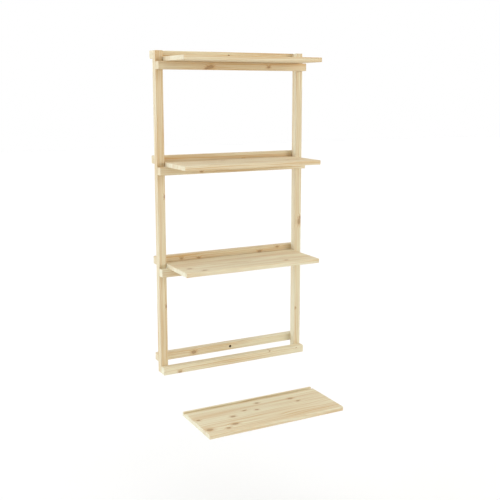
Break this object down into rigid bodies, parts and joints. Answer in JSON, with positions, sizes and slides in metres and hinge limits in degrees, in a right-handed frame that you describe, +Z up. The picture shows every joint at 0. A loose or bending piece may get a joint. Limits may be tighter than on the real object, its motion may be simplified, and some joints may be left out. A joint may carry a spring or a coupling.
{
  "type": "wall shelf",
  "caption": "Wall shelf of square pine bars, with uprights between back and front rails, and boards that hook under the back rails and lift out.",
  "frame": {"origin": "on the wall plane, midway between the two wall screw holes", "axes": "+X along the wall to the right as seen from the room, +Y into the wall, +Z up"},
  "size_m": [0.6, 0.416, 1.3007],
  "materials": {
    "pine": "bare planed pine with a thin clear matt coat",
    "zinc_plated_steel": "zinc plated"
  },
  "bodies": {
    "frame": {"left_upright": "pine", "right_upright": "pine", "bottom_back_rail": "pine", "bottom_front_rail": "pine", "lower_back_rail": "pine", "lower_front_rail": "pine", "upper_back_rail": "pine", "upper_front_rail": "pine", "top_back_rail": "pine", "top_front_rail": "pine", "bottom_back_rail_screws": "zinc_plated_steel", "bottom_front_rail_screws": "zinc_plated_steel", "lower_back_rail_screws": "zinc_plated_steel", "lower_front_rail_screws": "zinc_plated_steel", "upper_back_rail_screws": "zinc_plated_steel", "upper_front_rail_screws": "zinc_plated_steel", "top_back_rail_screws": "zinc_plated_steel", "top_front_rail_screws": "zinc_plated_steel"},
    "lower_board": {"lower_shelf": "pine"},
    "upper_board": {"upper_shelf": "pine"},
    "top_board": {"top_shelf": "pine"},
    "loose_board": {"loose_shelf": "pine"}
  },
  "joints": [
    {"name": "lower_shelf_tilt", "type": "hinge", "parent": "frame", "child": "lower_board", "pos_m": [0, -0.057, -0.209], "axis": [-1, 0, 0], "range_deg": [0, 14]},
    {"name": "upper_shelf_tilt", "type": "hinge", "parent": "frame", "child": "upper_board", "pos_m": [0, -0.057, 0.161], "axis": [-1, 0, 0], "range_deg": [0, 14]},
    {"name": "top_shelf_tilt", "type": "hinge", "parent": "frame", "child": "top_board", "pos_m": [0, -0.057, 0.531], "axis": [-1, 0, 0], "range_deg": [0, 14]},
    {"name": "loose_shelf_lift", "type": "slide", "parent": "frame", "child": "loose_board", "axis": [0, 0, 1], "range_m": [0, 0.153]}
  ]
}
